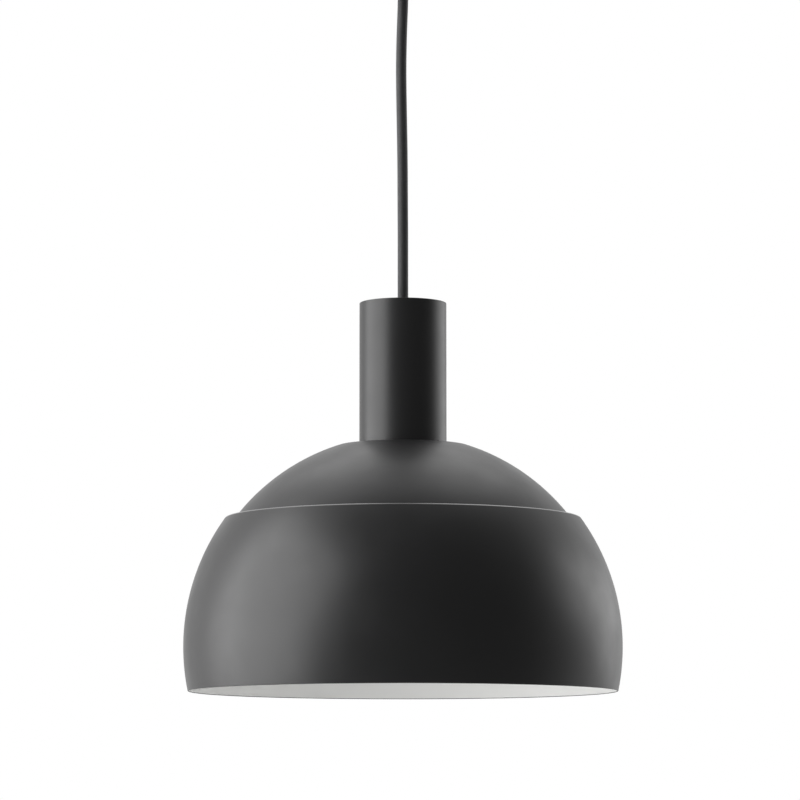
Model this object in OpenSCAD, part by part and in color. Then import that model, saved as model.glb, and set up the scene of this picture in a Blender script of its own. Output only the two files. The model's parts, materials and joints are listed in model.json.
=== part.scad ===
// Pendant ceiling light. A two-part spun dome shade hangs under a plain cylindrical hood
// on a braided cord from a ceiling cup. The origin is on the ceiling, at the middle of the
// bracket's top face, and everything hangs below it. Sizes are in millimetres.
// Heights that start with h_ are measured upwards from the lowest edge of the shade.

/* [Shade] */
// Widest diameter of the skirt, the lower part of the shade
skirt_d = 380; // [370:1:384]
// Diameter of the sphere that the dome, the upper part, is cut from
dome_d = 366.2; // [362.2:0.2:368.2]
// Thickness of the spun sheet
sheet = 1.2; // [1:0.1:1.5]
// Height of the step between the skirt and the dome
h_ledge = 150.4; // [140.4:1:156.4]
// Radius of the step's rounded corner
ledge_round = 2.6; // [2:0.1:4]

/* [Hood] */
// Diameter of the hood over the lampholder
hood_d = 76; // [72:0.5:90]
// Height of the hood's closed top above the rim
h_hood_top = 338.8; // [330.8:1:350.8]
// Radius of the hood's top edge
hood_round = 1.2; // [0.8:0.1:2]

/* [Lampholder] */
// Diameter of the holder's threaded sleeve
sleeve_d = 39.4; // [39:0.1:39.6]
// Diameter of the flange that carries the dome
flange_d = 54; // [48:1:60]
// Diameter of the ring that clamps the dome from below
ring_d = 54; // [50:1:60]

/* [Bulb] */
// Diameter of the bulb's globe
bulb_d = 60; // [56:1:62]
// Length of the bulb from the contact to the end of the globe
bulb_len = 108; // [105:1:112]

/* [Cord] */
// Diameter of the braided cord
cord_d = 8.8; // [8:0.1:8.8]
// Diameter of each insulated wire inside it
wire_d = 2.4; // [2:0.1:2.6]

/* [Ceiling cup] */
// Diameter of the cup that hides the bracket
cup_d = 100; // [100:1:120]
// Depth of the cup below the ceiling
cup_depth = 40; // [40:0.5:40.5]
// Distance between the bracket's two slots
slot_spacing = 70; // [66:1:72]
// Length of each slot
slot_len = 14; // [10:1:16]
// Width of each slot
slot_w = 5; // [4:0.5:6]

/* [Hidden] */
$fn = 96;
gap = 0.3;                              // between pieces that move past each other
cord_r = cord_d / 2;
wire_r = wire_d / 2;

// The cord's centreline, from where it starts to bend under the ceiling to its clamped end.
CORD_ROUTE = [
    [0, 0, -57], [0, 0, -64], [-0.4, 0, -76], [-0.9, 0, -90], [-1.3, 0, -106],
    [-1.5, 0, -122], [-1.4, 0, -140], [-1.1, 0, -158], [-0.8, 0, -176], [-0.5, 0, -194],
    [-0.3, 0, -212], [-0.2, 0, -232], [-0.1, 0, -252], [0, 0, -270], [0, 0, -290],
    [0, 0, -310], [0, 0, -330], [0, 0, -350], [0, 0, -370], [0, 0, -386]];
cord_top = CORD_ROUTE[0];
cord_end_z = CORD_ROUTE[len(CORD_ROUTE) - 1].z;
cord_sides = 12;

// Where the cord bends at the ceiling: first about X, then about Y.
bend_x_z = -50;
bend_y_z = cord_top.z;

// Shade heights and radii
h_cord_end = 284;                       // the clamped end of the cord
rim_z = cord_end_z - h_cord_end;        // level of the shade's lowest edge
h_centre = 39.2;                        // common centre of the two spheres
skirt_r = skirt_d / 2;
dome_r = dome_d / 2;
h_top = 214.4;                          // the dome's flat top
function sphere_r(r, h) = sqrt(r * r - (h - h_centre) * (h - h_centre));
dome_flat_r = sphere_r(dome_r, h_top);
dome_foot_r = sphere_r(dome_r, h_ledge);
foot_w = 5;                             // the dome's out-turned foot under the ledge
dome_hole_r = sleeve_d / 2 + 0.5;

// Holder heights
h_flange = h_top + gap;                 // underside of the holder's flange
flange_t = 3;
h_sleeve_low = 188;
h_sleeve_top = 238;
sleeve_r = sleeve_d / 2;
sleeve_bore_r = 17.6;
h_shoulder = 224;                       // the insert stands on this step inside the sleeve
h_insert_top = 240;
h_cap_low = 230;
h_cap_top = 256;
cap_r = 22.5;
shell_r = 14.1;                         // the screw shell's outside
shell_t = 0.5;
h_shell_low = 198;
nipple_r = 5;
nipple_bore_r = 3.8;
h_nipple_low = 253;
h_nipple_top = 281;
h_grip_low = 276;
h_grip_top = 296;
grip_r = 11;

// Bulb heights
h_tip = 219.8;                          // the bulb's centre contact
bulb_r = bulb_d / 2;
h_bulb_centre = h_tip - bulb_len + bulb_r;
h_cap_edge = 193;                       // where the bulb's metal cap ends
bulb_thread_r = 13.1;
h_globe_edge = h_bulb_centre + 18;

// Ceiling end
cup_r = cup_d / 2;
cup_sheet = 1.2;
cup_clear = 0.5;                        // the cup stops this far below the ceiling
strap_l = 94;
strap_w = 20;
strap_t = 2;
tab_drop = 14;
tab_hole_z = -9;
grip_neck_r = 6.5;
gland_z = -58;                          // mouth of the ceiling grip
tail_top_z = -27;
tail_low_z = bend_x_z + cord_r + 0.4;
block_w = 22;
block_d = 14;
block_h = 13;
pole_x = 5.5;                           // the terminal block's poles stand at plus and minus this
pole_z = -strap_t - 7;

// ---- helpers ----

module at_h(h) translate([0, 0, rim_z + h]) children();

// Points along an arc in the outline's plane, from one angle to another.
function arc(x, y, r, from, to, steps = 12) =
    [for (i = [0:steps]) let (a = from + (to - from) * i / steps) [x + r * cos(a), y + r * sin(a)]];

module lathe(outline) rotate_extrude() polygon(outline);

module tube(r_out, r_in, h) difference() {
    cylinder(r = r_out, h = h);
    translate([0, 0, -1]) cylinder(r = r_in, h = h + 2);
}

module hex(across, h) cylinder(d = across / cos(30), h = h, $fn = 6);

// A pan-head screw along -Z with its head's seat at the origin and a straight slot.
module pan_screw(r, length, head_r, head_h, slot = 0.8) {
    translate([0, 0, -length]) cylinder(r = r, h = length);
    difference() {
        cylinder(r1 = head_r, r2 = head_r * 0.85, h = head_h);
        translate([-head_r, -slot / 2, head_h * 0.55]) cube([2 * head_r, slot, head_h]);
    }
}

function unit(v) = v / norm(v);
function heading(p, i) = unit(p[min(i + 1, len(p) - 1)] - p[max(i - 1, 0)]);
function ring_at(centre, dir, r, sides, side) =
    let (u = unit(cross(cross(dir, side), dir)), v = cross(dir, u))
    [for (k = [0:sides - 1]) centre + r * (cos(360 * k / sides) * u + sin(360 * k / sides) * v)];

// A tube with a ring of points at each given centre. side is a direction that it never runs in.
module swept(centres, headings, radii, sides, side) {
    n = len(centres);
    rings = [for (i = [0:n - 1]) each ring_at(centres[i], headings[i], radii[i], sides, side)];
    walls = [for (i = [0:n - 2], k = [0:sides - 1])
        let (a = i * sides, b = a + sides, m = (k + 1) % sides) [a + k, b + k, b + m, a + m]];
    first = [for (k = [0:sides - 1]) k];
    last = [for (k = [sides - 1:-1:0]) (n - 1) * sides + k];
    polyhedron(rings, concat([first], walls, [last]));
}

module wire(route, side) swept(
    route, [for (i = [0:len(route) - 1]) heading(route, i)], [for (p = route) wire_r], 8, side);

// ---- ceiling end ----

module mounting_bracket() color("silver") difference() {
    union() {
        translate([-strap_l / 2, -strap_w / 2, -strap_t]) cube([strap_l, strap_w, strap_t]);
        for (s = [-1, 1]) translate([s * (strap_l / 2 - strap_t / 2), 0, -tab_drop / 2])
            cube([strap_t, strap_w * 0.7, tab_drop], center = true);
    }
    for (s = [-1, 1]) {
        translate([s * slot_spacing / 2, 0, -strap_t - 1]) {
            for (e = [-1, 1]) translate([e * (slot_len - slot_w) / 2, 0, 0])
                cylinder(d = slot_w, h = strap_t + 2);
            translate([-(slot_len - slot_w) / 2, -slot_w / 2, 0])
                cube([slot_len - slot_w, slot_w, strap_t + 2]);
        }
        translate([s * strap_l / 2, 0, tab_hole_z]) rotate([0, 90, 0])
            cylinder(r = 2.05, h = 10, center = true);
    }
    translate([20, 0, -strap_t - 1]) cylinder(r = 2.05, h = strap_t + 2);
}

module terminal_block() color("white") difference() {
    translate([-block_w / 2, -block_d / 2, -strap_t - block_h]) cube([block_w, block_d, block_h]);
    for (s = [-1, 1]) {
        translate([s * pole_x, 0, pole_z]) rotate([90, 0, 0])
            cylinder(r = 2.5, h = block_d + 2, center = true);
        for (y = [-3.5, 3.5]) translate([s * pole_x, y, -strap_t - block_h - 1])
            cylinder(r = 2, h = block_h - 5);
    }
    translate([0, 0, -strap_t - block_h - 1]) cylinder(r = 1.6, h = block_h + 2);
    translate([0, 0, -strap_t - block_h - 1]) cylinder(r = 2.9, h = 4);
}

module terminal_tubes() color("goldenrod") for (s = [-1, 1])
    translate([s * pole_x, 0, pole_z]) difference() {
        rotate([90, 0, 0]) cylinder(r = 2.4, h = block_d - 1, center = true);
        rotate([90, 0, 0]) cylinder(r = 1.6, h = block_d + 1, center = true);
        for (y = [-3.5, 3.5]) translate([0, y, -4]) cylinder(r = 1.1, h = 4);
    }

module terminal_screws() color("silver") for (s = [-1, 1], y = [-3.5, 3.5])
    translate([s * pole_x, y, pole_z - wire_r - 2.8]) mirror([0, 0, 1])
        pan_screw(1, 2.7, 1.7, 1.4);

module block_screw() color("silver") translate([0, 0, -strap_t - block_h + 3]) mirror([0, 0, 1])
    pan_screw(1.5, block_h - 3, 2.7, 1.6);

module earth_screw() color("goldenrod") translate([20, 0, -strap_t]) mirror([0, 0, 1])
    pan_screw(1.95, strap_t - 0.2, 3.6, 2.2);

module ceiling_cup() color("#2b2b2b") difference() {
    lathe(concat(
        [[grip_neck_r + 0.2, -cup_depth]],
        arc(cup_r - 2, -cup_depth + 2, 2, -90, 0, 6),
        [[cup_r, -cup_clear], [cup_r - cup_sheet, -cup_clear]],
        arc(cup_r - 2, -cup_depth + 2, 2 - cup_sheet, 0, -90, 6),
        [[grip_neck_r + 0.2, -cup_depth + cup_sheet]]));
    for (s = [-1, 1]) translate([s * cup_r, 0, tab_hole_z]) rotate([0, 90, 0])
        cylinder(r = 2.3, h = 10, center = true);
}

module cup_screws() color("#2b2b2b") for (s = [-1, 1])
    translate([s * (cup_r + 0.1), 0, tab_hole_z]) rotate([0, s * 90, 0])
        pan_screw(1.95, 7.5, 3.8, 2.2);

// The grip's neck goes up through the cup, and its mouth flares so that the cord can bend.
module ceiling_grip() color("#2b2b2b") difference() {
    lathe(concat(
        [[4.5, -30], [grip_neck_r, -30], [grip_neck_r, -cup_depth],
         [10.5, -cup_depth], [10.5, -43], [10, -43.5]],
        arc(9, gland_z + 1, 1, 0, -60, 3),
        [[8.6, gland_z], [7.6, -56.3], [6.6, -54], [5.6, -51.2], [4.9, -49], [4.5, -47]]));
    translate([0, 7, -42]) rotate([-90, 0, 0]) cylinder(r = 1.8, h = 10, center = true);
}

module grip_nut() color("#2b2b2b") translate([0, 0, -cup_depth + cup_sheet]) difference() {
    hex(19, 4);
    translate([0, 0, -1]) cylinder(r = grip_neck_r + 0.05, h = 6);
}

module grip_screw() color("#1d1d1d") translate([0, cord_r, -42]) rotate([-90, 0, 0]) difference() {
    cylinder(r = 1.7, h = 7.2);
    translate([-2, -0.4, 6.4]) cube([4, 0.8, 2]);
}

module cord_tail() color("#222222") translate([0, 0, tail_low_z])
    cylinder(r = cord_r, h = tail_top_z - tail_low_z);

module live_wire_upper() color("saddlebrown") wire([
    [-1.6, -1.5, -27], [-1.6, -1.5, -25], [-2.4, -4, -21.5], [-4.5, -9, -18.5], [-5.5, -14, -15],
    [-5.5, -15, -11.5], [-5.5, -12.5, -9], [-5.5, -8, -9], [-5.5, -2, -9]], [1, 0, 0]);

module neutral_wire_upper() color("steelblue") wire([
    [1.6, -1.5, -27], [1.6, -1.5, -25], [2.4, -4, -21.5], [4.5, -9, -18.5], [5.5, -14, -15],
    [5.5, -15, -11.5], [5.5, -12.5, -9], [5.5, -8, -9], [5.5, -2, -9]], [1, 0, 0]);

module earth_wire_upper() color("olivedrab") wire([
    [0, 1.8, -27], [0, 1.8, -25], [3, 2, -21], [9, 2, -18], [15, 1, -15.5], [18.5, 0.3, -12],
    [20, 0, -8], [20, 0, -4.3]], [0, 1, 0]);

// ---- cord ----

// A short length inside the grip's mouth, where the cord bends about X.
module cord_neck() color("#222222") translate([0, 0, bend_x_z]) lathe(concat(
    [[0, bend_y_z + cord_r + 0.4 - bend_x_z], [cord_r, bend_y_z + cord_r + 0.4 - bend_x_z]],
    arc(0, 0, cord_r, 0, 90, 8)));

// Its upper end is a half ball about the point where it bends about Y.
module cord() color("#222222") {
    round_top = [for (a = [15:15:75]) [cord_top + [0, 0, cord_r * cos(a)], cord_r * sin(a)]];
    swept(
        concat([for (p = round_top) p[0]], CORD_ROUTE),
        concat([for (p = round_top) [0, 0, -1]],
               [for (i = [0:len(CORD_ROUTE) - 1]) heading(CORD_ROUTE, i)]),
        concat([for (p = round_top) p[1]], [for (p = CORD_ROUTE) cord_r]),
        cord_sides, [1, 0, 0]);
}

// ---- hood ----

module hood() color("#2b2b2b") {
    r = hood_d / 2;
    at_h(0) lathe(concat(
        [[r - sheet, h_top + gap], [r, h_top + gap]],
        arc(r - hood_round, h_hood_top - hood_round, hood_round, 0, 90, 6),
        [[6.4, h_hood_top], [6.4, h_hood_top - sheet], [r - sheet, h_hood_top - sheet]]));
}

// A snap-in bush that keeps the cord off the sheet's edge.
module hood_bush() color("#1d1d1d") at_h(h_hood_top) lathe([
    [cord_r + 0.4, -5], [7.2, -5], [7.4, -1.4], [6.2, -1.3], [6.2, 0.1],
    [8, 0.1], [8, 1.4], [7, 2.2], [cord_r + 0.9, 2.2], [cord_r + 0.4, 1.7]]);

// ---- lampholder ----

module lamp_grip() color("#2b2b2b") difference() {
    at_h(0) lathe([
        [nipple_r + 0.05, h_grip_low], [grip_r - 1, h_grip_low], [grip_r, h_grip_low + 1],
        [grip_r, h_grip_top - 4], [grip_r - 3, h_grip_top], [cord_r + 0.1, h_grip_top],
        [cord_r + 0.1, h_nipple_top + 1], [nipple_r + 0.05, h_nipple_top + 1]]);
    at_h(289) translate([0, 7, 0]) rotate([-90, 0, 0]) cylinder(r = 1.8, h = 10, center = true);
}

module lamp_grip_screw() color("#1d1d1d") at_h(289) translate([0, cord_r, 0])
    rotate([-90, 0, 0]) difference() {
        cylinder(r = 1.7, h = 7.6);
        translate([-2, -0.4, 6.8]) cube([4, 0.8, 2]);
    }

module nipple() color("silver") at_h(h_nipple_low)
    tube(nipple_r, nipple_bore_r, h_nipple_top - h_nipple_low);

module nipple_nut() color("silver") at_h(h_cap_top) difference() {
    hex(14, 3.5);
    translate([0, 0, -1]) cylinder(r = nipple_r + 0.05, h = 6);
}

module holder_cap() color("#333333") difference() {
    at_h(0) lathe(concat(
        [[sleeve_r + 0.3, h_cap_low], [cap_r, h_cap_low]],
        arc(cap_r - 6, h_cap_top - 6, 6, 0, 90, 8),
        [[nipple_r + 0.05, h_cap_top], [nipple_r + 0.05, h_cap_top - 3], [16, h_cap_top - 3],
         [sleeve_r + 0.3, h_cap_top - 8]]));
    at_h(247) translate([0, cap_r, 0]) rotate([-90, 0, 0])
        cylinder(r = 1.55, h = 14, center = true);
}

module cap_earth_screw() color("goldenrod") at_h(247) translate([0, cap_r, 0])
    rotate([-90, 0, 0]) pan_screw(1.5, 4.5, 3, 1.8);

module live_wire_lower() color("saddlebrown") wire([
    for (p = [[-1.6, -1, 283.5], [-1.6, -1, 272], [-1.6, -1, 260], [-1.6, -1, 254.5],
              [-2.6, -1, 251.8], [-5, -1, 250], [-8, -0.5, 248.6], [-10, 0, 246.6],
              [-10, 0, 243]])
        p + [0, 0, rim_z]], [0, 1, 0]);

module neutral_wire_lower() color("steelblue") wire([
    for (p = [[1.6, -1, 283.5], [1.6, -1, 272], [1.6, -1, 260], [1.6, -1, 254.5],
              [2.6, -1, 251.8], [5, -1, 250], [8, -0.5, 248.6], [10, 0, 246.6],
              [10, 0, 243]])
        p + [0, 0, rim_z]], [0, 1, 0]);

module earth_wire_lower() color("olivedrab") wire([
    for (p = [[0, 1.7, 283.5], [0, 1.7, 272], [0, 1.7, 260], [0, 1.7, 254.5], [0, 3, 251.6],
              [0, 6, 249.6], [0, 10, 248], [0, 14, 247.2], [0, 17.9, 247]])
        p + [0, 0, rim_z]], [1, 0, 0]);

module holder_insert() color("whitesmoke") difference() {
    at_h(h_shoulder) cylinder(r = sleeve_bore_r - 0.2, h = h_insert_top - h_shoulder);
    at_h(h_shoulder - 1) translate([-7, -3.2, 0]) cube([14, 6.4, 8]);
    for (s = [-1, 1]) at_h(h_shoulder - 1) translate([0, s * 10.5, 0])
        cylinder(r = 1.3, h = 6);
}

module insert_terminals() color("goldenrod") for (s = [-1, 1])
    at_h(h_insert_top) translate([s * 10, 0, 0]) difference() {
        translate([-2.8, -3, 0]) cube([5.6, 6, 5.6]);
        translate([0, 0, 2]) cylinder(r = wire_r + 0.15, h = 6);
        translate([s * 2, 0, 3.6]) rotate([0, 90, 0]) cylinder(r = 1.05, h = 4, center = true);
    }

module insert_screws() color("silver") for (s = [-1, 1])
    at_h(h_insert_top + 3.6) translate([s * 13.4, 0, 0]) rotate([0, s * 90, 0])
        pan_screw(1, 2, 1.7, 1.3, 0.6);

// The threaded shell that the bulb screws into, hung from the insert by two rivets.
module screw_shell() color("goldenrod") difference() {
    at_h(0) lathe([
        [shell_r - shell_t, h_shell_low], [shell_r, h_shell_low], [shell_r, h_shoulder],
        [8, h_shoulder], [8, h_shoulder - shell_t], [shell_r - shell_t, h_shoulder - shell_t]]);
    for (s = [-1, 1]) at_h(h_shoulder - 2) translate([0, s * 10.5, 0]) cylinder(r = 1.3, h = 4);
}

module shell_rivets() color("goldenrod") for (s = [-1, 1]) at_h(0) translate([0, s * 10.5, 0]) {
    translate([0, 0, h_shoulder - shell_t]) cylinder(r = 1.2, h = 5);
    translate([0, 0, h_shoulder - shell_t - 0.9]) cylinder(r1 = 1.6, r2 = 2.1, h = 0.9);
}

module holder_sleeve() color("#333333") at_h(0) lathe([
    [17, h_sleeve_low], [sleeve_r, h_sleeve_low], [sleeve_r, h_flange],
    [flange_d / 2, h_flange], [flange_d / 2, h_flange + flange_t - 0.6],
    [flange_d / 2 - 0.6, h_flange + flange_t], [sleeve_r, h_flange + flange_t],
    [sleeve_r, h_sleeve_top], [sleeve_bore_r, h_sleeve_top], [sleeve_bore_r, h_shoulder],
    [14.4, h_shoulder], [14.4, h_shoulder - 3], [17, h_shoulder - 6]]);

// A bowed strip that presses on the bulb's tip.
module centre_contact() color("goldenrod") at_h(0) rotate([90, 0, 0])
    translate([0, 0, -2.5]) linear_extrude(5) polygon([
        [-6.2, 230], [-6.2, 224.6], [-3, 220.6], [3, 220.1], [5, 221.6], [4.7, 222],
        [2.8, 220.7], [-2.8, 221.2], [-5.6, 224.8], [-5.6, 230]]);

// ---- shade ----

// The foot turned out at the bottom lies under the skirt's ledge.
module shade_dome() color("#2b2b2b") {
    low = h_ledge - sheet;
    foot_r = dome_foot_r + foot_w;
    inner = dome_r - sheet;
    from = asin((low - h_centre) / dome_r);
    to = asin((h_top - h_centre) / dome_r);
    inner_from = asin((low - sheet - h_centre) / inner);
    inner_to = asin((h_top - sheet - h_centre) / inner);
    at_h(0) lathe(concat(
        arc(0, h_centre, dome_r, from, to, 24),
        [[dome_hole_r, h_top], [dome_hole_r, h_top - sheet]],
        arc(0, h_centre, inner, inner_to, inner_from, 24),
        [[foot_r, low - sheet], [foot_r, low]]));
}

// Ledge, rounded corner and spherical wall, whose lower edge is rounded to half the sheet.
module shade_skirt() color("#2b2b2b") {
    corner_h = h_ledge - ledge_round;
    corner_x = sqrt(pow(skirt_r - ledge_round, 2) - pow(corner_h - h_centre, 2));
    corner_a = atan2(corner_h - h_centre, corner_x);
    edge_r = sheet / 2;
    edge_x = sphere_r(skirt_r - edge_r, edge_r);
    edge_a = asin((edge_r - h_centre) / (skirt_r - edge_r));
    ledge_in = sphere_r(dome_r, h_ledge - sheet) + 0.2;
    at_h(0) lathe(concat(
        [[ledge_in, h_ledge - sheet], [ledge_in, h_ledge]],
        arc(corner_x, corner_h, ledge_round, 90, corner_a, 6),
        arc(0, h_centre, skirt_r, corner_a, edge_a, 36),
        arc(edge_x, edge_r, edge_r, edge_a - 30, edge_a - 150, 4),
        arc(0, h_centre, skirt_r - sheet, edge_a, corner_a, 36),
        arc(corner_x, corner_h, ledge_round - sheet, corner_a, 90, 6)));
}

module shade_ring() color("#333333") {
    bore = sleeve_r + 0.3;
    top = h_top - sheet - gap;
    difference() {
        at_h(0) lathe([
            [bore, top - 11], [22.6, top - 11], [23.2, top - 10.4], [23.2, top - 3],
            [ring_d / 2 - 0.5, top - 2.6], [ring_d / 2, top - 2.1], [ring_d / 2, top],
            [bore, top]]);
        for (a = [0:20:340]) rotate([0, 0, a]) at_h(top - 7) translate([23.8, 0, 0])
            cylinder(r = 1.3, h = 9, center = true);
    }
}

// ---- bulb ----

module bulb_cap() color("silver") at_h(0) lathe([
    [bulb_thread_r - 0.4, h_cap_edge], [bulb_thread_r, h_cap_edge + 1],
    [bulb_thread_r, 213.5], [10.2, 216.6], [9.6, 216.2], [bulb_thread_r - 1, 213],
    [bulb_thread_r - 1, h_cap_edge]]);

module bulb_insulator() color("#1a1a1a") at_h(0) lathe([
    [0, 215.6], [9.5, 215.6], [9.5, 216.6], [5.2, 218.9], [0, 218.9]]);

module bulb_contact() color("goldenrod") at_h(218.9)
    cylinder(r1 = 4.8, r2 = 3.6, h = h_tip - 218.9);

module bulb_body() color("white") at_h(0) lathe([
    [12, 206], [12, h_cap_edge - 0.2], [13.8, h_cap_edge - 0.2], [14.6, 188],
    [17.6, 178], [22.4, 168], [25.8, h_globe_edge + 1], [26.4, h_globe_edge - 1.5],
    [25.4, h_globe_edge - 1.5], [24.3, h_globe_edge + 0.5], [21, 168.4],
    [16.1, 178.4], [13.1, 188.6], [10.8, 194], [10.8, 206]]);

module bulb_globe() color("ivory") {
    edge = asin(18 / bulb_r);
    at_h(0) lathe(concat(
        arc(0, h_bulb_centre, bulb_r, edge, -90, 28),
        arc(0, h_bulb_centre, bulb_r - 1.2, -90, edge + 0.6, 28)));
}

module led_board() color("seagreen") at_h(h_globe_edge - 1) cylinder(r = 21, h = 1.6);

module driver_board() color("seagreen") at_h(170) translate([-9, -0.8, 0]) cube([18, 1.6, 30]);

mounting_bracket();
terminal_block();
terminal_tubes();
terminal_screws();
block_screw();
earth_screw();
ceiling_cup();
cup_screws();
ceiling_grip();
grip_nut();
grip_screw();
cord_tail();
live_wire_upper();
neutral_wire_upper();
earth_wire_upper();
cord_neck();
cord();
hood();
hood_bush();
lamp_grip();
lamp_grip_screw();
nipple();
nipple_nut();
holder_cap();
cap_earth_screw();
live_wire_lower();
neutral_wire_lower();
earth_wire_lower();
holder_insert();
insert_terminals();
insert_screws();
screw_shell();
shell_rivets();
holder_sleeve();
centre_contact();
shade_dome();
shade_skirt();
shade_ring();
bulb_cap();
bulb_insulator();
bulb_contact();
bulb_body();
bulb_globe();
led_board();
driver_board();
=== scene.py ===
"""The looks of a pendant ceiling light: a stepped dome shade under a cylindrical hood, hung on a
braided cord. Everything is in metres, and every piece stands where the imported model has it."""

import json
import math

import bpy
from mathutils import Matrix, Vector


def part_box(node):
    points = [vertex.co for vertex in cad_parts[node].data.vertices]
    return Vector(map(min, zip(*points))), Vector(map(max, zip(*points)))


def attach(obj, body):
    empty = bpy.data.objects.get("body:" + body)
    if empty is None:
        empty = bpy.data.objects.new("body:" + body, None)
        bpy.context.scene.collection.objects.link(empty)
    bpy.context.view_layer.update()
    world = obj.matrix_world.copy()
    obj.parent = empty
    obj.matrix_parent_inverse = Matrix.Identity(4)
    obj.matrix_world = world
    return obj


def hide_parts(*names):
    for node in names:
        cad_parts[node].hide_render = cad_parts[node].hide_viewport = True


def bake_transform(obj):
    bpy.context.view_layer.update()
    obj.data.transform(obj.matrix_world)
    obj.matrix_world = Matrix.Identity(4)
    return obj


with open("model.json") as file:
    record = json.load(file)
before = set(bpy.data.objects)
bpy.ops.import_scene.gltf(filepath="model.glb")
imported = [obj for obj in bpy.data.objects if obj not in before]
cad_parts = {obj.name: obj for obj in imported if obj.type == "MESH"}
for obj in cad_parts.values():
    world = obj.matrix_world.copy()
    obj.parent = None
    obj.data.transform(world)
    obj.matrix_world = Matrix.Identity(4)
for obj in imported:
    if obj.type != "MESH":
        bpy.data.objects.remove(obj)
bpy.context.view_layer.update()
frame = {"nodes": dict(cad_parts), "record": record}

MM = 0.001

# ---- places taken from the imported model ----

skirt_low, skirt_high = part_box("shade_skirt")
hood_low, hood_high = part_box("hood")
cup_low, cup_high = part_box("ceiling_cup")
sleeve_low, sleeve_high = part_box("holder_sleeve")
globe_low, globe_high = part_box("bulb_globe")

rim_z = skirt_low.z
ledge_z = skirt_high.z
dome_top_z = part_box("shade_dome")[1].z
centre_z = rim_z + 39.2 * MM   # the dome and the skirt are parts of two spheres round this height
skirt_r = 190 * MM
dome_r = 183.1 * MM
sheet = 1.2 * MM   # thickness of the spun metal
hood_r = hood_high.x
cup_r = 50 * MM

# The cord's centreline from where it bends under the ceiling to its clamped end.
CORD_ROUTE = [
    (0, 0, -0.050), (0, 0, -0.057), (0, 0, -0.064), (-0.0004, 0, -0.076), (-0.0009, 0, -0.090),
    (-0.0013, 0, -0.106), (-0.0015, 0, -0.122), (-0.0014, 0, -0.140), (-0.0011, 0, -0.158),
    (-0.0008, 0, -0.176), (-0.0005, 0, -0.194), (-0.0003, 0, -0.212), (-0.0002, 0, -0.232),
    (-0.0001, 0, -0.252), (0, 0, -0.270), (0, 0, -0.290), (0, 0, -0.310), (0, 0, -0.330),
    (0, 0, -0.350), (0, 0, -0.370), (0, 0, -0.386)]
CORD_D = 8.8 * MM


# ---- camera ----

def make_camera():
    """A long lens from a little below the rim, tilted slightly upwards."""
    data = bpy.data.cameras.new("camera")
    data.lens = 172.19
    data.clip_end = 50
    camera = bpy.data.objects.new("camera", data)
    bpy.context.scene.collection.objects.link(camera)
    distance = 3.3155
    below_rim = 0.1241
    aside = 2.57 * MM
    tilt = math.radians(6.502)
    camera.location = (-aside, -distance, rim_z - below_rim)
    camera.rotation_euler = (math.pi / 2 + tilt, 0, 0)
    bpy.context.scene.camera = camera


make_camera()


# ---- helpers for node trees ----

def add_node(tree, kind, settings=None, inputs=None):
    """Adds a node, sets its properties, and sets or links its inputs by name or number."""
    node = tree.nodes.new(kind)
    for key, value in (settings or {}).items():
        setattr(node, key, value)
    for key, value in (inputs or {}).items():
        socket = node.inputs[key]
        if isinstance(value, bpy.types.NodeSocket):
            tree.links.new(value, socket)
        else:
            socket.default_value = value
    return node


def maths(tree, operation, a, b=0.0):
    return add_node(tree, "ShaderNodeMath", {"operation": operation}, {0: a, 1: b}).outputs[0]


def vector_of(tree, x, y, z):
    return add_node(tree, "ShaderNodeCombineXYZ", None, {0: x, 1: y, 2: z}).outputs[0]


def geometry_tree(name, inputs):
    """A Geometry Nodes tree with named inputs, each (name, socket type, default)."""
    tree = bpy.data.node_groups.new(name, "GeometryNodeTree")
    tree.interface.new_socket("Geometry", in_out="INPUT", socket_type="NodeSocketGeometry")
    for label, kind, default in inputs:
        socket = tree.interface.new_socket(label, in_out="INPUT", socket_type=kind)
        if default is not None:
            socket.default_value = default
    tree.interface.new_socket("Geometry", in_out="OUTPUT", socket_type="NodeSocketGeometry")
    entry = tree.nodes.new("NodeGroupInput")
    leave = tree.nodes.new("NodeGroupOutput")
    return tree, entry.outputs, leave


def end_tree(tree, geometry, material, leave):
    """Realize Instances, smooth shading and Set Material, then out."""
    real = add_node(tree, "GeometryNodeRealizeInstances", None, {"Geometry": geometry})
    smooth = add_node(tree, "GeometryNodeSetShadeSmooth", None, {"Geometry": real.outputs[0]})
    painted = add_node(tree, "GeometryNodeSetMaterial", None,
                       {"Geometry": smooth.outputs[0], "Material": material})
    tree.links.new(painted.outputs[0], leave.inputs[0])


def run_tree(obj, tree, values, weighted=True):
    """Runs a tree on an object and keeps only the mesh that it makes."""
    modifier = obj.modifiers.new(tree.name, "NODES")
    modifier.node_group = tree
    for socket in tree.interface.items_tree:
        if socket.in_out == "INPUT" and socket.name in values:
            modifier[socket.identifier] = values[socket.name]
    if weighted:
        normals = obj.modifiers.new("normals", "WEIGHTED_NORMAL")
        normals.keep_sharp = True
    evaluated = obj.evaluated_get(bpy.context.evaluated_depsgraph_get())
    mesh = bpy.data.meshes.new_from_object(evaluated)
    mesh.materials.clear()
    mesh.materials.append(values["Material"])
    mesh.polygons.foreach_set("material_index", [0] * len(mesh.polygons))
    name = obj.name
    bpy.data.objects.remove(obj)
    made = bpy.data.objects.new(name, mesh)
    mesh.name = name
    bpy.context.scene.collection.objects.link(made)
    return made


# ---- materials ----

def new_material(name):
    material = bpy.data.materials.new(name)
    material.use_nodes = True
    tree = material.node_tree
    shader = tree.nodes["Principled BSDF"]
    return material, tree, shader


def object_coords(tree):
    return add_node(tree, "ShaderNodeTexCoord").outputs["Object"]


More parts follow.
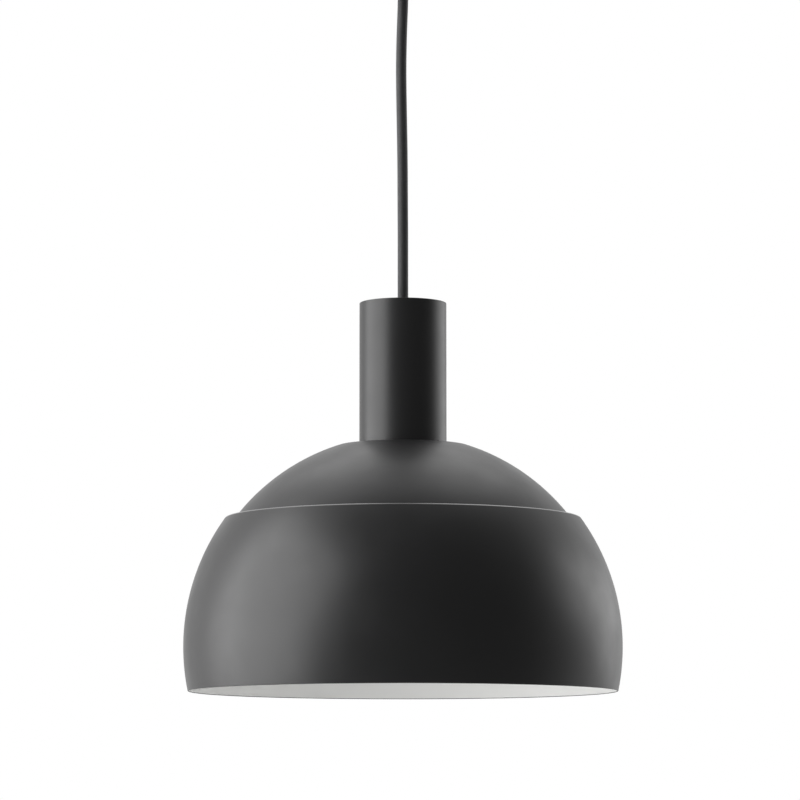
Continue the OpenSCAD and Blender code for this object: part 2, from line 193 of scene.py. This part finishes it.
def noise(tree, scale, detail=2.0, vector=None, roughness=0.5):
    return add_node(tree, "ShaderNodeTexNoise", None, {
        "Vector": vector or object_coords(tree), "Scale": scale, "Detail": detail,
        "Roughness": roughness}).outputs["Fac"]


def spread(tree, value, low, high, from_low=0.0, from_high=1.0):
    return add_node(tree, "ShaderNodeMapRange", None, {
        "Value": value, "From Min": from_low, "From Max": from_high, "To Min": low,
        "To Max": high}).outputs[0]


def two_tone(tree, factor, first, second):
    node = add_node(tree, "ShaderNodeMix", {"data_type": "RGBA"}, {"Factor": factor})
    node.inputs["A"].default_value = (*first, 1)
    node.inputs["B"].default_value = (*second, 1)
    return node.outputs["Result"]


def bump(tree, shader, height, strength, distance):
    node = add_node(tree, "ShaderNodeBump", None, {
        "Height": height, "Strength": strength, "Distance": distance})
    tree.links.new(node.outputs[0], shader.inputs["Normal"])


def black_powder():
    """Fine matt powder coat: an even charcoal black with a shallow orange peel."""
    material, tree, shader = new_material("black_powder")
    cloud = noise(tree, 9, 3)
    tree.links.new(two_tone(tree, cloud, (0.0095, 0.0095, 0.010), (0.0125, 0.0125, 0.013)),
                   shader.inputs["Base Color"])
    tree.links.new(spread(tree, noise(tree, 30, 4), 0.36, 0.42, 0.3, 0.7),
                   shader.inputs["Roughness"])
    peel = maths(tree, "ADD", noise(tree, 700, 2), maths(tree, "MULTIPLY", noise(tree, 2600, 1), 0.35))
    bump(tree, shader, peel, 0.12, 0.00004)
    shader.inputs["Specular IOR Level"].default_value = 0.5
    return material


def ledge_highlight_coat():
    """A slightly lighter copy of the powder coat under a clear coat, for the skirt's upward corner
    faces: the lighter tone is a painted highlight along the ledge, and the coat adds gloss there.
    """
    material, tree, shader = new_material("ledge_highlight_coat")
    tree.links.new(two_tone(tree, noise(tree, 60, 3), (0.011, 0.011, 0.0115), (0.014, 0.014, 0.0145)),
                   shader.inputs["Base Color"])
    shader.inputs["Roughness"].default_value = 0.38
    shader.inputs["Coat Weight"].default_value = 1.0
    shader.inputs["Coat Roughness"].default_value = 0.3
    shader.inputs["Coat IOR"].default_value = 1.5
    return material


def white_enamel():
    """The white coat inside the shade, with a shallow orange peel."""
    material, tree, shader = new_material("white_enamel")
    tree.links.new(two_tone(tree, noise(tree, 7, 3), (0.80, 0.80, 0.79), (0.84, 0.84, 0.83)),
                   shader.inputs["Base Color"])
    tree.links.new(spread(tree, noise(tree, 40, 3), 0.42, 0.5, 0.3, 0.7),
                   shader.inputs["Roughness"])
    bump(tree, shader, noise(tree, 500, 2), 0.15, 0.00005)
    return material


def cord_braid():
    """Black polyester yarn: fine fibres with a faint sheen and small lighter flecks."""
    material, tree, shader = new_material("cord_braid")
    fibre = noise(tree, 2600, 3, None, 0.7)
    fleck = spread(tree, noise(tree, 1100, 1), 0.0, 1.0, 0.5, 0.68)
    tone = maths(tree, "ADD", maths(tree, "MULTIPLY", fibre, 0.45),
                 maths(tree, "MULTIPLY", fleck, 0.55))
    tree.links.new(two_tone(tree, tone, (0.009, 0.009, 0.010), (0.062, 0.062, 0.066)),
                   shader.inputs["Base Color"])
    tree.links.new(spread(tree, fibre, 0.34, 0.5), shader.inputs["Roughness"])
    bump(tree, shader, fibre, 0.4, 0.0001)
    shader.inputs["Sheen Weight"].default_value = 0.12
    shader.inputs["Sheen Roughness"].default_value = 0.5
    shader.inputs["Sheen Tint"].default_value = (0.7, 0.7, 0.74, 1)
    return material


def moulded(name, dark, light, rough, grain_scale=900, grain=0.2, coat=0.0):
    """Moulded plastic, resin or porcelain: two close tones, a fine grain, and perhaps a glaze."""
    material, tree, shader = new_material(name)
    tree.links.new(two_tone(tree, noise(tree, 60, 4), dark, light), shader.inputs["Base Color"])
    tree.links.new(spread(tree, noise(tree, 150, 3), rough - 0.04, rough + 0.05),
                   shader.inputs["Roughness"])
    bump(tree, shader, noise(tree, grain_scale, 2), grain, 0.00004)
    shader.inputs["Coat Weight"].default_value = coat
    shader.inputs["Coat Roughness"].default_value = 0.12
    return material


def metal(name, dark, light, rough_low, rough_high, patch_scale=120):
    """Bare or plated metal: tone and roughness vary in small patches, over a fine grain."""
    material, tree, shader = new_material(name)
    patches = add_node(tree, "ShaderNodeTexVoronoi", {"feature": "SMOOTH_F1"}, {
        "Vector": object_coords(tree), "Scale": patch_scale, "Smoothness": 0.6}).outputs["Color"]
    mixed = maths(tree, "ADD", maths(tree, "MULTIPLY", noise(tree, 200, 4), 0.6),
                  maths(tree, "MULTIPLY", patches, 0.4))
    tree.links.new(two_tone(tree, mixed, dark, light), shader.inputs["Base Color"])
    tree.links.new(spread(tree, mixed, rough_low, rough_high), shader.inputs["Roughness"])
    bump(tree, shader, noise(tree, 3000, 2), 0.12, 0.00002)
    shader.inputs["Metallic"].default_value = 1.0
    return material


def opal_globe():
    """Opal diffuser: a soft white that scatters some light under its surface."""
    material, tree, shader = new_material("opal_globe")
    tree.links.new(two_tone(tree, noise(tree, 25, 2), (0.86, 0.855, 0.83), (0.9, 0.895, 0.875)),
                   shader.inputs["Base Color"])
    tree.links.new(spread(tree, noise(tree, 300, 2), 0.3, 0.38), shader.inputs["Roughness"])
    bump(tree, shader, noise(tree, 1800, 1), 0.1, 0.00003)
    shader.inputs["Subsurface Weight"].default_value = 0.25
    shader.inputs["Subsurface Radius"].default_value = (0.006, 0.006, 0.005)
    shader.inputs["Coat Weight"].default_value = 0.2
    return material


def striped_wire():
    """Green and yellow insulation, in bands that follow one another up the wire."""
    material, tree, shader = new_material("green_wire")
    wave = add_node(tree, "ShaderNodeTexWave", {"wave_type": "BANDS", "bands_direction": "Z"}, {
        "Vector": object_coords(tree), "Scale": 40, "Distortion": 0.0}).outputs["Fac"]
    edge = spread(tree, wave, 0.0, 1.0, 0.45, 0.55)
    tree.links.new(two_tone(tree, edge, (0.03, 0.22, 0.03), (0.75, 0.62, 0.03)),
                   shader.inputs["Base Color"])
    shader.inputs["Roughness"].default_value = 0.42
    return material


MATERIALS = {
    "black_powder": black_powder(),
    "black_screw": metal("black_screw", (0.02, 0.02, 0.02), (0.05, 0.05, 0.05), 0.4, 0.55),
    "black_nylon": moulded("black_nylon", (0.012, 0.012, 0.012), (0.022, 0.022, 0.023), 0.5),
    "black_holder": moulded("black_holder", (0.016, 0.016, 0.016), (0.026, 0.026, 0.027), 0.38,
                            600, 0.15),
    "cord_braid": cord_braid(),
    "zinc_steel": metal("zinc_steel", (0.42, 0.43, 0.45), (0.62, 0.63, 0.64), 0.28, 0.45),
    "brass": metal("brass", (0.58, 0.38, 0.14), (0.78, 0.56, 0.25), 0.2, 0.38),
    "nickel": metal("nickel", (0.55, 0.53, 0.49), (0.68, 0.66, 0.62), 0.18, 0.32),
    "white_nylon": moulded("white_nylon", (0.72, 0.72, 0.69), (0.8, 0.8, 0.77), 0.45),
    "porcelain": moulded("porcelain", (0.78, 0.77, 0.73), (0.86, 0.85, 0.82), 0.3, 300, 0.2, 0.6),
    "brown_wire": moulded("brown_wire", (0.11, 0.045, 0.018), (0.14, 0.06, 0.025), 0.4),
    "blue_wire": moulded("blue_wire", (0.02, 0.1, 0.42), (0.03, 0.13, 0.5), 0.4),
    "green_wire": striped_wire(),
    "black_glass": moulded("black_glass", (0.008, 0.008, 0.008), (0.012, 0.012, 0.012), 0.12,
                           200, 0.1, 0.8),
    "bulb_white": moulded("bulb_white", (0.78, 0.78, 0.76), (0.84, 0.84, 0.82), 0.34),
    "frosted_glass": opal_globe(),
    "circuit_board": moulded("circuit_board", (0.7, 0.72, 0.7), (0.8, 0.81, 0.79), 0.4),
}
ENAMEL = white_enamel()
LEDGE_HIGHLIGHT = ledge_highlight_coat()


# ---- outlines, as (radius, height) points that run anticlockwise ----

def arc(x, z, r, start, end, steps=12):
    """Points along an arc, with its angles in degrees."""
    turns = [math.radians(start + (end - start) * i / steps) for i in range(steps + 1)]
    return [(x + r * math.cos(a), z + r * math.sin(a)) for a in turns]


def rounded(corners, steps=5):
    """Closed outline from (x, z, radius) corners. Each is rounded by a smooth curve that starts and
    ends where an arc of its radius would, or nearer where a side is short."""
    points = []
    count = len(corners)
    for i, (x, z, r) in enumerate(corners):
        here = Vector((x, z))
        before = (Vector(corners[i - 1][:2]) - here)
        after = (Vector(corners[(i + 1) % count][:2]) - here)
        if r <= 0 or before.length < 1e-9 or after.length < 1e-9:
            points.append((x, z))
            continue
        half = before.angle(after) / 2
        reach = min(r / math.tan(half), before.length * 0.49, after.length * 0.49)
        first = here + before.normalized() * reach
        last = here + after.normalized() * reach
        for k in range(steps + 1):
            t = k / steps
            p = first * (1 - t) ** 2 + here * (2 * t * (1 - t)) + last * t ** 2
            points.append((p.x, p.y))
    return points


def rows_between(x, low, high, step):
    """Evenly spaced points up a straight wall, for a thread to be cut in."""
    count = max(1, round((high - low) / step))
    return [(x, low + (high - low) * i / count) for i in range(count + 1)]


# ---- the tree that spins an outline into a solid, with an optional screw thread ----

def spin_tree():
    tree, given, leave = geometry_tree("Spin Outline", [
        ("Points", "NodeSocketInt", 2), ("Segments", "NodeSocketInt", 128),
        ("Thread Depth", "NodeSocketFloat", 0.0), ("Thread Pitch", "NodeSocketFloat", 0.0025),
        ("Thread Low", "NodeSocketFloat", 0.0), ("Thread High", "NodeSocketFloat", 0.0),
        ("Thread Radius", "NodeSocketFloat", 1.0), ("Material", "NodeSocketMaterial", None)])
    grid = add_node(tree, "GeometryNodeMeshGrid", None, {
        "Vertices X": maths(tree, "ADD", given["Segments"], 1.0), "Vertices Y": given["Points"]})
    index = add_node(tree, "GeometryNodeInputIndex").outputs[0]
    column = maths(tree, "FLOOR", maths(tree, "DIVIDE", maths(tree, "ADD", index, 0.5),
                                        given["Points"]))
    row = maths(tree, "SUBTRACT", index, maths(tree, "MULTIPLY", column, given["Points"]))
    place = add_node(tree, "GeometryNodeInputPosition").outputs[0]
    sample = add_node(tree, "GeometryNodeSampleIndex",
                      {"data_type": "FLOAT_VECTOR", "domain": "POINT"},
                      {"Geometry": given["Geometry"], "Value": place, "Index": row})
    parts = add_node(tree, "ShaderNodeSeparateXYZ", None, {0: sample.outputs[0]}).outputs
    share = maths(tree, "DIVIDE", column, given["Segments"])
    run_out = 1 * MM   # height over which the thread fades away at each end
    phase = maths(tree, "SUBTRACT", maths(tree, "DIVIDE", parts[2], given["Thread Pitch"]), share)
    crest = maths(tree, "COSINE", maths(tree, "MULTIPLY", phase, math.tau))
    crest = maths(tree, "SUBTRACT", maths(tree, "MULTIPLY", crest, 0.5), 0.5)
    inside_low = maths(tree, "DIVIDE", maths(tree, "SUBTRACT", parts[2], given["Thread Low"]), run_out)
    inside_high = maths(tree, "DIVIDE", maths(tree, "SUBTRACT", given["Thread High"], parts[2]), run_out)
    fade = add_node(tree, "ShaderNodeClamp", None,
                    {0: maths(tree, "MINIMUM", inside_low, inside_high)}).outputs[0]
    wanted = maths(tree, "GREATER_THAN", parts[0], given["Thread Radius"])
    cut = maths(tree, "MULTIPLY", maths(tree, "MULTIPLY", crest, given["Thread Depth"]),
                maths(tree, "MULTIPLY", fade, wanted))
    radius = maths(tree, "ADD", parts[0], cut)
    angle = maths(tree, "MULTIPLY", share, math.tau)
    spot = vector_of(tree, maths(tree, "MULTIPLY", radius, maths(tree, "COSINE", angle)),
                     maths(tree, "MULTIPLY", radius, maths(tree, "SINE", angle)), parts[2])
    placed = add_node(tree, "GeometryNodeSetPosition", None,
                      {"Geometry": grid.outputs["Mesh"], "Position": spot})
    sewn = add_node(tree, "GeometryNodeMergeByDistance", None,
                    {"Geometry": placed.outputs[0], "Distance": 1e-6})
    end_tree(tree, sewn.outputs[0], given["Material"], leave)
    return tree


SPIN = spin_tree()


def spin(name, outline, material, segments=128, thread=None):
    """Spins an outline about Z. thread is (depth, pitch, low, high, least radius)."""
    points = list(outline) + [outline[0]]
    mesh = bpy.data.meshes.new(name)
    mesh.from_pydata([(x, 0, z) for x, z in points],
                     [(i, i + 1) for i in range(len(points) - 1)], [])
    obj = bpy.data.objects.new(name, mesh)
    bpy.context.scene.collection.objects.link(obj)
    values = {"Points": len(points), "Segments": segments, "Material": material}
    if thread:
        labels = ("Thread Depth", "Thread Pitch", "Thread Low", "Thread High", "Thread Radius")
        values.update(zip(labels, thread))
    return run_tree(obj, SPIN, values)


# ---- the tree that braids yarns round a path ----

def braid_tree():
    tree, given, leave = geometry_tree("Braid On Path", [
        ("Yarns", "NodeSocketInt", 10), ("Lay", "NodeSocketFloat", 0.0276),
        ("Radius", "NodeSocketFloat", 0.004), ("Wave", "NodeSocketFloat", 0.00012),
        ("Step", "NodeSocketFloat", 0.0006), ("Yarn Width", "NodeSocketFloat", 0.0018),
        ("Yarn Thickness", "NodeSocketFloat", 0.0004), ("Material", "NodeSocketMaterial", None)])
    path = add_node(tree, "GeometryNodeResampleCurve", {"mode": "LENGTH"},
                    {"Curve": given["Geometry"], "Length": given["Step"]}).outputs[0]
    ring = add_node(tree, "GeometryNodeCurvePrimitiveCircle", {"mode": "RADIUS"},
                    {"Resolution": 6, "Radius": 0.5}).outputs[0]
    flat = add_node(tree, "GeometryNodeTransform", None, {
        "Geometry": ring,
        "Scale": vector_of(tree, given["Yarn Thickness"], given["Yarn Width"], 1.0)}).outputs[0]
    join = add_node(tree, "GeometryNodeJoinGeometry")
    for way in (1, -1):
        copies = add_node(tree, "GeometryNodeDuplicateElements", {"domain": "SPLINE"},
                          {"Geometry": path, "Amount": given["Yarns"]})
        along = add_node(tree, "GeometryNodeSplineParameter").outputs["Length"]
        turns = maths(tree, "DIVIDE", along, given["Lay"])
        offset = maths(tree, "DIVIDE", copies.outputs["Duplicate Index"], given["Yarns"])
        angle = maths(tree, "MULTIPLY", maths(tree, "ADD", maths(tree, "MULTIPLY", turns, way),
                                              offset), math.tau)
        ups = maths(tree, "COSINE", maths(tree, "MULTIPLY",
                                          maths(tree, "MULTIPLY", turns, given["Yarns"]), math.tau))
        radius = maths(tree, "ADD", given["Radius"],
                       maths(tree, "MULTIPLY", maths(tree, "MULTIPLY", ups, given["Wave"]), way))
        aside = vector_of(tree, maths(tree, "MULTIPLY", radius, maths(tree, "COSINE", angle)),
                          maths(tree, "MULTIPLY", radius, maths(tree, "SINE", angle)), 0.0)
        wound = add_node(tree, "GeometryNodeSetPosition", None,
                         {"Geometry": copies.outputs[0], "Offset": aside}).outputs[0]
        turned = add_node(tree, "GeometryNodeSetCurveNormal", {"mode": "Z_UP"},
                          {"Curve": wound}).outputs[0]
        yarn = add_node(tree, "GeometryNodeCurveToMesh", None, {
            "Curve": turned, "Profile Curve": flat, "Fill Caps": True}).outputs[0]
        tree.links.new(yarn, join.inputs[0])
    core = add_node(tree, "GeometryNodeCurvePrimitiveCircle", {"mode": "RADIUS"}, {
        "Resolution": 24, "Radius": maths(tree, "SUBTRACT", given["Radius"], 0.0001)}).outputs[0]
    inner = add_node(tree, "GeometryNodeCurveToMesh", None, {
        "Curve": path, "Profile Curve": core, "Fill Caps": True}).outputs[0]
    tree.links.new(inner, join.inputs[0])
    end_tree(tree, join.outputs[0], given["Material"], leave)
    return tree


BRAID = braid_tree()


def smooth_path(route, per_stretch=4):
    """A smooth line through a route's points."""
    p = [Vector(q) for q in route]
    p = [p[0] * 2 - p[1]] + p + [p[-1] * 2 - p[-2]]
    line = []
    for i in range(1, len(p) - 2):
        for k in range(per_stretch):
            t = k / per_stretch
            a, b, c, d = p[i - 1], p[i], p[i + 1], p[i + 2]
            line.append(0.5 * (2 * b + (c - a) * t + (2 * a - 5 * b + 4 * c - d) * t * t
                               + (3 * b - a - 3 * c + d) * t ** 3))
    return line + [p[-2]]


def braid(name, route):
    """Braids ten yarns each way round a route, over a plain core."""
    path = smooth_path(route)
    data = bpy.data.curves.new(name, "CURVE")
    data.dimensions = "3D"
    spline = data.splines.new("POLY")
    spline.points.add(len(path) - 1)
    for point, q in zip(spline.points, path):
        point.co = (*q, 1)
    obj = bpy.data.objects.new(name, data)
    bpy.context.scene.collection.objects.link(obj)
    made = run_tree(obj, BRAID, {
        "Yarns": 10, "Lay": 27 * MM, "Radius": CORD_D / 2 - 0.05 * MM, "Wave": 0.12 * MM,
        "Step": 0.62 * MM, "Yarn Width": 1.75 * MM, "Yarn Thickness": 0.42 * MM,
        "Material": MATERIALS["cord_braid"]}, weighted=False)
    return made, path


def make_cords():
    cord, path = braid("cord_braided", CORD_ROUTE)
    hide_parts("cord", "cord_neck")
    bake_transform(cord)
    tail_low, tail_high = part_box("cord_tail")
    tail, _ = braid("cord_tail_braided", [(0, 0, tail_high.z), (0, 0, tail_low.z)])
    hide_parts("cord_tail")
    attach(tail, "ceiling")


make_cords()


# ---- shade, hood, lampholder, bulb and cup ----

def on_sphere(r, z):
    return math.sqrt(r * r - (z - centre_z) ** 2)


def height_angle(r, z):
    return math.degrees(math.asin((z - centre_z) / r))


ENAMEL_INDEX = 1
HIGHLIGHT_INDEX = 2


def paint_inside(obj, above):
    """White enamel on every face that looks inwards, above a height."""
    obj.data.materials.append(ENAMEL)
    below_centre = 20 * MM
    middle = Vector((0, 0, centre_z - below_centre))
    for face in obj.data.polygons:
        outward = face.normal.dot(face.center - middle)
        if outward < 0 and face.center.z > above:
            face.material_index = ENAMEL_INDEX


def make_dome():
    """The upper dome: a foot tucked under the ledge, a round, and a shallow top with the hole."""
    hole = 20.2 * MM
    flat_r = 40 * MM   # radius inside which the top is level
    foot_z = ledge_z - sheet
    tuck = 5 * MM   # how far the foot reaches under the ledge
    foot_r = on_sphere(dome_r, ledge_z) + tuck
    rise = 0.5 * MM   # height over the foot at which the round starts
    inner = dome_r - sheet
    brow = 57 * MM   # radius at which the round of the dome breaks into its shallow top
    brow_a = math.degrees(math.acos(brow / dome_r))
    brow_in_a = math.degrees(math.acos((brow - 0.6 * MM) / inner))
    outline = (
        [(foot_r, foot_z - sheet), (foot_r, foot_z)]
        + [(on_sphere(dome_r, foot_z) + 0.6 * MM, foot_z)]
        + arc(0, centre_z, dome_r, height_angle(dome_r, foot_z + rise), brow_a, 44)
        + [(brow - 0.7 * MM, centre_z + on_sphere(dome_r, centre_z + brow) + 0.12 * MM),
           (flat_r, dome_top_z), (hole, dome_top_z), (hole, dome_top_z - sheet),
           (flat_r, dome_top_z - sheet)]
        + arc(0, centre_z, inner, brow_in_a, height_angle(inner, foot_z - sheet + rise), 44)
        + [(on_sphere(inner, foot_z - sheet) + 0.8 * MM, foot_z - sheet)])
    dome = spin("dome_spun", outline, MATERIALS["black_powder"], 256)
    paint_inside(dome, rim_z)
    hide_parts("shade_dome")
    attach(dome, "shade")


def make_skirt():
    """The lower skirt: a level ledge, a rounded corner, a round side and a plain rim."""
    corner_r = 2.6 * MM
    corner_z = ledge_z - corner_r
    corner_x = math.sqrt((skirt_r - corner_r) ** 2 - (corner_z - centre_z) ** 2)
    corner_a = math.degrees(math.atan2(corner_z - centre_z, corner_x))
    edge_r = sheet / 2
    edge_x = math.sqrt((skirt_r - edge_r) ** 2 - (rim_z + edge_r - centre_z) ** 2)
    edge_a = math.degrees(math.asin((rim_z + edge_r - centre_z) / (skirt_r - edge_r)))
    ledge_in = on_sphere(dome_r, ledge_z - sheet) + 0.2 * MM
    outline = (
        [(ledge_in, ledge_z), (ledge_in, ledge_z - sheet)]
        + arc(corner_x, corner_z, corner_r - sheet, 90, corner_a, 6)
        + arc(0, centre_z, skirt_r - sheet, corner_a, edge_a, 60)
        + arc(edge_x, rim_z + edge_r, edge_r, edge_a - 165, edge_a - 15, 10)
        + arc(0, centre_z, skirt_r, edge_a, corner_a, 60)
        + arc(corner_x, corner_z, corner_r, corner_a, 90, 10))
    skirt = spin("skirt_spun", outline, MATERIALS["black_powder"], 288)
    paint_inside(skirt, rim_z + edge_r)
    skirt.data.materials.append(LEDGE_HIGHLIGHT)
    # The upward faces of the ledge's rounded corner get the lighter, glossier copy of the coat: a
    # painted highlight along the ledge.
    facing_up = 0.6
    for face in skirt.data.polygons:
        if face.normal.z > facing_up and face.center.to_2d().length > corner_x:
            face.material_index = HIGHLIGHT_INDEX
    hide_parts("shade_skirt")
    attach(skirt, "shade")


def make_hood():
    low = hood_low.z
    high = hood_high.z
    hole = 6.3 * MM
    outline = rounded([
        (hood_r, low, 0.25 * MM), (hood_r, high, 0.5 * MM), (hole, high, 0.3 * MM),
        (hole, high - sheet, 0.2 * MM), (hood_r - sheet, high - sheet, 0.4 * MM),
        (hood_r - sheet, low, 0.25 * MM)], 8)
    hood = spin("hood_spun", outline, MATERIALS["black_powder"], 192)
    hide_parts("hood")
    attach(hood, "hood")


def make_sleeve():
    """The holder's sleeve, with the flange that carries the dome and the thread for the ring."""
    low = sleeve_low.z
    high = sleeve_high.z
    pitch = 2.5 * MM
    r = 19.7 * MM
    flange_low = dome_top_z + 0.3 * MM
    flange_r = sleeve_high.x
    thread_depth = 0.8 * MM
    upper_bore = 17.6 * MM
    shoulder_bore = 14.4 * MM
    shoulder_high = rim_z + 224 * MM
    shoulder_low = rim_z + 221 * MM
    outline = (
        [(17 * MM, low + 0.4 * MM), (17.4 * MM, low), (r - 1.2 * MM, low)]
        + rows_between(r, low + 1.2 * MM, flange_low - 0.4 * MM, pitch / 8)
        + [(r, flange_low), (flange_r - 0.3 * MM, flange_low),
           (flange_r, flange_low + 0.3 * MM), (flange_r, flange_low + 2.4 * MM),
           (flange_r - 0.6 * MM, flange_low + 3 * MM), (r + 0.3 * MM, flange_low + 3 * MM),
           (r, flange_low + 3.3 * MM), (r, high - 0.4 * MM), (r - 0.4 * MM, high),
           (upper_bore, high), (upper_bore, shoulder_high), (shoulder_bore, shoulder_high),
           (shoulder_bore, shoulder_low), (17 * MM, rim_z + 218 * MM)])
    sleeve = spin("sleeve_threaded", outline, MATERIALS["black_holder"], 96,
                  (thread_depth, pitch, low + 1.6 * MM, flange_low - 2 * MM, r - 0.01 * MM))
    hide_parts("holder_sleeve")
    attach(sleeve, "lampholder")


def make_bulb():
    """The threaded metal cap and the globe."""
    cap_low, cap_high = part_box("bulb_cap")
    pitch = 3.629 * MM
    thread_depth = 0.9 * MM
    r = cap_high.x
    z = cap_low.z
    outline = (
        [(r - 1 * MM, z), (r - 0.4 * MM, z), (r, z + 0.5 * MM)]
        + rows_between(r, z + 1 * MM, cap_high.z - 3.2 * MM, pitch / 9)
        + [(r - 0.4 * MM, cap_high.z - 2.6 * MM), (10.2 * MM, cap_high.z),
           (9.6 * MM, cap_high.z - 0.4 * MM), (r - 1.6 * MM, cap_high.z - 3.6 * MM),
           (r - 1.7 * MM, z + 1 * MM)])
    cap = spin("bulb_cap_threaded", outline, MATERIALS["nickel"], 96,
               (thread_depth, pitch, z + 3 * MM, cap_high.z - 3.2 * MM, r - 0.01 * MM))
    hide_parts("bulb_cap")
    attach(cap, "bulb")
    globe_r = (globe_high.x - globe_low.x) / 2
    middle = globe_low.z + globe_r
    edge = math.degrees(math.asin((globe_high.z - middle) / globe_r))
    wall = 1.2 * MM
    outline = (arc(0, middle, globe_r, -90, edge, 48)
               + arc(0, middle, globe_r - wall, edge + 0.6, -90, 40))
    globe = spin("globe_opal", outline, MATERIALS["frosted_glass"], 128)
    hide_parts("bulb_globe")
    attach(globe, "bulb")


def make_cup():
    low = cup_low.z
    high = cup_high.z
    hole = 6.7 * MM
    outline = rounded([
        (hole, low, 0.2 * MM), (cup_r, low, 2.2 * MM), (cup_r, high, 0.3 * MM),
        (cup_r - sheet, high, 0.3 * MM), (cup_r - sheet, low + sheet, 1.0 * MM),
        (hole, low + sheet, 0.2 * MM)], 8)
    cup = spin("cup_spun", outline, MATERIALS["black_powder"], 192)
    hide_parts("ceiling_cup")
    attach(cup, "ceiling")


make_dome()
make_skirt()
make_hood()
make_sleeve()
make_bulb()
make_cup()


# ---- the CAD parts that stay get their finish ----

SLOT_OF = {s["node"]: s["material_slot"] for s in frame["record"]["subparts"]}
for node_name, node_object in frame["nodes"].items():
    if not node_object.hide_render:
        node_object.data.materials.clear()
        node_object.data.materials.append(MATERIALS[SLOT_OF[node_name]])


# ---- stage and light ----

def make_floor():
    """A wide floor far below the lamp. It lights the shade from beneath but isn't mirrored in it."""
    mesh = bpy.data.meshes.new("floor")
    size = 30
    depth = -4.6
    corners = [(-size, -size), (size, -size), (size, size), (-size, size)]
    mesh.from_pydata([(x, y, depth) for x, y in corners], [], [(0, 1, 2, 3)])
    floor = bpy.data.objects.new("floor", mesh)
    bpy.context.scene.collection.objects.link(floor)
    material, _, shader = new_material("floor_paint")
    shader.inputs["Base Color"].default_value = (0.74, 0.74, 0.74, 1)
    shader.inputs["Roughness"].default_value = 0.9
    mesh.materials.append(material)
    floor.visible_glossy = False


def soft_light(name, place, target, size, power):
    """A rectangular soft box that faces its target and stays out of the picture."""
    data = bpy.data.lights.new(name, "AREA")
    data.shape = "RECTANGLE"
    data.size, data.size_y = size
    data.energy = power
    light = bpy.data.objects.new(name, data)
    bpy.context.scene.collection.objects.link(light)
    light.location = place
    light.rotation_euler = (Vector(target) - Vector(place)).to_track_quat("-Z", "Z").to_euler()
    light.visible_camera = False


def make_world():
    """Bright behind the lamp and dim in front of it. The camera itself sees plain white."""
    world = bpy.data.worlds.new("studio")
    bpy.context.scene.world = world
    world.use_nodes = True
    tree = world.node_tree
    surface = tree.nodes["Background"]
    direction = add_node(tree, "ShaderNodeTexCoord").outputs["Generated"]
    parts = add_node(tree, "ShaderNodeSeparateXYZ", None, {0: direction}).outputs
    behind = add_node(tree, "ShaderNodeMapRange", {"interpolation_type": "SMOOTHSTEP"}, {
        "Value": parts[1], "From Min": -0.35, "From Max": 0.75, "To Min": 0.16,
        "To Max": 0.95}).outputs[0]
    seen = add_node(tree, "ShaderNodeLightPath").outputs["Is Camera Ray"]
    level = add_node(tree, "ShaderNodeMix", {"data_type": "FLOAT"},
                     {"Factor": seen, "A": behind, "B": 1.0}).outputs[0]
    surface.inputs["Color"].default_value = (1, 1, 1, 1)
    tree.links.new(level, surface.inputs["Strength"])


make_floor()
make_world()
soft_light("left_box", (-2.3, -0.5, 0.0), (0, 0, -0.5), (3.6, 3.2), 140)
soft_light("right_fill", (2.2, 1.2, 0.0), (0, 0, -0.5), (1.0, 2.2), 12)
soft_light("top_box", (0, 1.0, 2.0), (0, 0, -0.45), (3.0, 2.4), 28)
soft_light("under_box", (0, 0, -2.4), (0, 0, -0.5), (1.6, 1.6), 22)
bpy.context.scene.view_settings.view_transform = "Standard"

bpy.context.view_layer.update()
